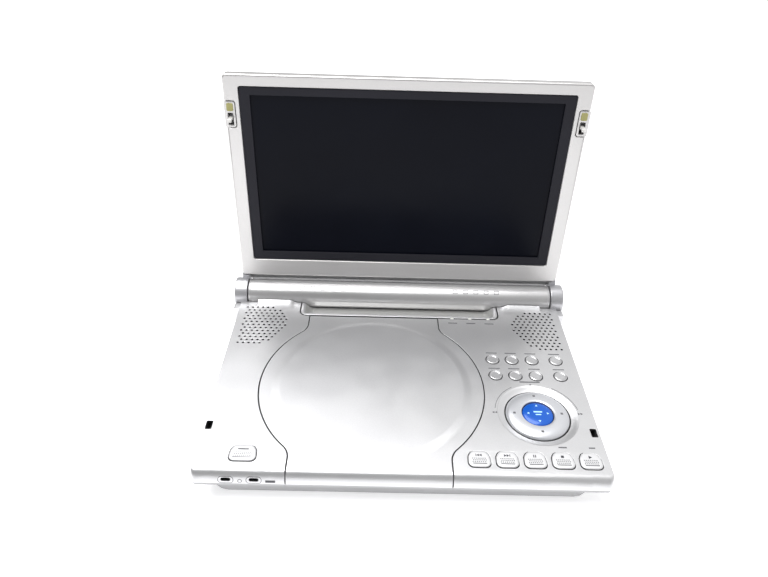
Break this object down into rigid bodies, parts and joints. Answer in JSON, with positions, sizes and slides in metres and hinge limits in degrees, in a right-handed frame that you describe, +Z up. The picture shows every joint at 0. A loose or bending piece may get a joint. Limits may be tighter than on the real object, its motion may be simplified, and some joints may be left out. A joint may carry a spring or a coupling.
{
  "type": "portable disc player",
  "caption": "Flat portable disc player with a round disc cover, side controls and a search dial, a battery barrel along the rear edge and a wide folding screen.",
  "frame": {"origin": "middle of the underside of the player as it stands with the screen up", "axes": "+X to the right of the user, +Y from the front edge to the rear, +Z up"},
  "size_m": [0.242, 0.184, 0.183],
  "materials": {
    "silver_paint": "satin metallic silver paint on moulded plastic",
    "bezel_paint": "satin metallic silver paint, slightly warm",
    "barrel_paint": "satin metallic silver paint on a rolled sleeve",
    "knuckle_paint": "darker metallic paint",
    "key_plastic": "pale silver plastic with a stippled grip band",
    "dial_paint": "bright satin silver",
    "blue_key": "clear glossy blue",
    "grey_shell": "fine textured grey plastic",
    "black_plastic": "moulded black plastic",
    "mask_plastic": "matt dark frame",
    "lcd_glass": "anti-glare panel front, unlit",
    "hook_plastic": "white moulded plastic",
    "steel": "ground steel",
    "pressed_metal": "pressed sheet",
    "board": "green circuit board",
    "cell_wrap": "shrink sleeve",
    "lens_glass": "coated lens",
    "lamp_plastic": "milky light guide",
    "rubber": "matt rubber"
  },
  "bodies": {
    "base": {"bottom_shell": "grey_shell", "top_deck": "silver_paint", "barrel_shell": "barrel_paint", "battery_cell_1": "cell_wrap", "battery_cell_2": "cell_wrap", "battery_cell_3": "cell_wrap", "hinge_shaft_left": "steel", "hinge_shaft_right": "steel", "disc_cover_pin_left": "steel", "disc_cover_pin_right": "steel", "drive_chassis": "black_plastic", "spindle_motor": "steel", "guide_rod_front": "steel", "guide_rod_rear": "steel", "feed_motor": "steel", "dial_dish": "dial_paint", "key_board": "board", "main_board": "board", "speaker_left": "black_plastic", "speaker_right": "black_plastic", "front_socket_1": "black_plastic", "front_socket_2": "black_plastic", "power_inlet": "black_plastic", "indicator_light_guide": "lamp_plastic", "foot_front_left": "rubber", "foot_front_right": "rubber", "foot_rear_left": "rubber", "foot_rear_right": "rubber"},
    "screen": {"screen_bezel": "bezel_paint", "screen_mask": "mask_plastic", "lcd_panel": "lcd_glass", "backlight_tray": "pressed_metal", "screen_rear_shell": "silver_paint", "latch_hook_left": "hook_plastic", "latch_hook_right": "hook_plastic", "hinge_knuckle_left": "knuckle_paint", "hinge_knuckle_right": "knuckle_paint"},
    "disc_cover": {"disc_cover": "silver_paint", "disc_cover_liner": "black_plastic"},
    "turntable": {"turntable": "black_plastic"},
    "pickup_sled": {"pickup_sled": "black_plastic", "pickup_lens": "lens_glass"},
    "feed_screw": {"feed_screw": "steel"},
    "open_button": {"open_button": "key_plastic"},
    "cover_catch": {"cover_catch": "black_plastic"},
    "search_ring": {"search_ring": "dial_paint"},
    "cursor_button": {"cursor_button": "blue_key"},
    "transport_button_1": {"transport_button_1": "key_plastic"},
    "transport_button_2": {"transport_button_2": "key_plastic"},
    "transport_button_3": {"transport_button_3": "key_plastic"},
    "transport_button_4": {"transport_button_4": "key_plastic"},
    "transport_button_5": {"transport_button_5": "key_plastic"},
    "menu_button_1": {"menu_button_1": "key_plastic"},
    "menu_button_2": {"menu_button_2": "key_plastic"},
    "menu_button_3": {"menu_button_3": "key_plastic"},
    "menu_button_4": {"menu_button_4": "key_plastic"},
    "menu_button_5": {"menu_button_5": "key_plastic"},
    "menu_button_6": {"menu_button_6": "key_plastic"},
    "menu_button_7": {"menu_button_7": "key_plastic"},
    "menu_button_8": {"menu_button_8": "key_plastic"}
  },
  "joints": [
    {"name": "screen_hinge", "type": "hinge", "parent": "base", "child": "screen", "pos_m": [0, 0.07304, 0.0244], "axis": [1, 0, 0], "range_deg": [-35, 92.9]},
    {"name": "disc_cover_hinge", "type": "hinge", "parent": "base", "child": "disc_cover", "pos_m": [-0.0184, 0.05004, 0.02], "axis": [1, 0, 0], "range_deg": [-65, 0]},
    {"name": "turntable_spin", "type": "hinge", "parent": "base", "child": "turntable", "pos_m": [-0.0184, -0.02096, 0.0165], "axis": [0, 0, 1], "continuous": true},
    {"name": "sled_slide", "type": "slide", "parent": "base", "child": "pickup_sled", "axis": [1, 0, 0], "range_m": [0, 0.034]},
    {"name": "feed_screw_turn", "type": "hinge", "parent": "base", "child": "feed_screw", "pos_m": [0.0216, -0.04046, 0.0095], "axis": [1, 0, 0], "range_deg": [0, 4081]},
    {"name": "open_button_press", "type": "slide", "parent": "base", "child": "open_button", "axis": [0, 0, -1], "range_m": [0, 0.0008], "stiffness_N_per_m": 900, "springref_m": -0.0006},
    {"name": "cover_catch_slide", "type": "slide", "parent": "base", "child": "cover_catch", "axis": [-1, 0, 0], "range_m": [0, 0.004]},
    {"name": "search_ring_turn", "type": "hinge", "parent": "base", "child": "search_ring", "pos_m": [0.0822, -0.04306, 0.0235], "axis": [0, 0, 1], "range_deg": [-30, 30], "stiffness_Nm_per_rad": 0.03},
    {"name": "cursor_button_press", "type": "slide", "parent": "base", "child": "cursor_button", "axis": [0, 0, -1], "range_m": [0, 0.0008], "stiffness_N_per_m": 900, "springref_m": -0.0006},
    {"name": "transport_button_1_press", "type": "slide", "parent": "base", "child": "transport_button_1", "axis": [0, 0, -1], "range_m": [0, 0.0008], "stiffness_N_per_m": 900, "springref_m": -0.0006},
    {"name": "transport_button_2_press", "type": "slide", "parent": "base", "child": "transport_button_2", "axis": [0, 0, -1], "range_m": [0, 0.0008], "stiffness_N_per_m": 900, "springref_m": -0.0006},
    {"name": "transport_button_3_press", "type": "slide", "parent": "base", "child": "transport_button_3", "axis": [0, 0, -1], "range_m": [0, 0.0008], "stiffness_N_per_m": 900, "springref_m": -0.0006},
    {"name": "transport_button_4_press", "type": "slide", "parent": "base", "child": "transport_button_4", "axis": [0, 0, -1], "range_m": [0, 0.0008], "stiffness_N_per_m": 900, "springref_m": -0.0006},
    {"name": "transport_button_5_press", "type": "slide", "parent": "base", "child": "transport_button_5", "axis": [0, 0, -1], "range_m": [0, 0.0008], "stiffness_N_per_m": 900, "springref_m": -0.0006},
    {"name": "menu_button_1_press", "type": "slide", "parent": "base", "child": "menu_button_1", "axis": [0, 0, -1], "range_m": [0, 0.0008], "stiffness_N_per_m": 900, "springref_m": -0.0006},
    {"name": "menu_button_2_press", "type": "slide", "parent": "base", "child": "menu_button_2", "axis": [0, 0, -1], "range_m": [0, 0.0008], "stiffness_N_per_m": 900, "springref_m": -0.0006},
    {"name": "menu_button_3_press", "type": "slide", "parent": "base", "child": "menu_button_3", "axis": [0, 0, -1], "range_m": [0, 0.0008], "stiffness_N_per_m": 900, "springref_m": -0.0006},
    {"name": "menu_button_4_press", "type": "slide", "parent": "base", "child": "menu_button_4", "axis": [0, 0, -1], "range_m": [0, 0.0008], "stiffness_N_per_m": 900, "springref_m": -0.0006},
    {"name": "menu_button_5_press", "type": "slide", "parent": "base", "child": "menu_button_5", "axis": [0, 0, -1], "range_m": [0, 0.0008], "stiffness_N_per_m": 900, "springref_m": -0.0006},
    {"name": "menu_button_6_press", "type": "slide", "parent": "base", "child": "menu_button_6", "axis": [0, 0, -1], "range_m": [0, 0.0008], "stiffness_N_per_m": 900, "springref_m": -0.0006},
    {"name": "menu_button_7_press", "type": "slide", "parent": "base", "child": "menu_button_7", "axis": [0, 0, -1], "range_m": [0, 0.0008], "stiffness_N_per_m": 900, "springref_m": -0.0006},
    {"name": "menu_button_8_press", "type": "slide", "parent": "base", "child": "menu_button_8", "axis": [0, 0, -1], "range_m": [0, 0.0008], "stiffness_N_per_m": 900, "springref_m": -0.0006}
  ],
  "couplings": [
    {"joint": "feed_screw_turn", "follows": "sled_slide", "rad_per_m": 2094.4},
    {"joint": "cover_catch_slide", "follows": "open_button_press", "ratio": 5}
  ]
}
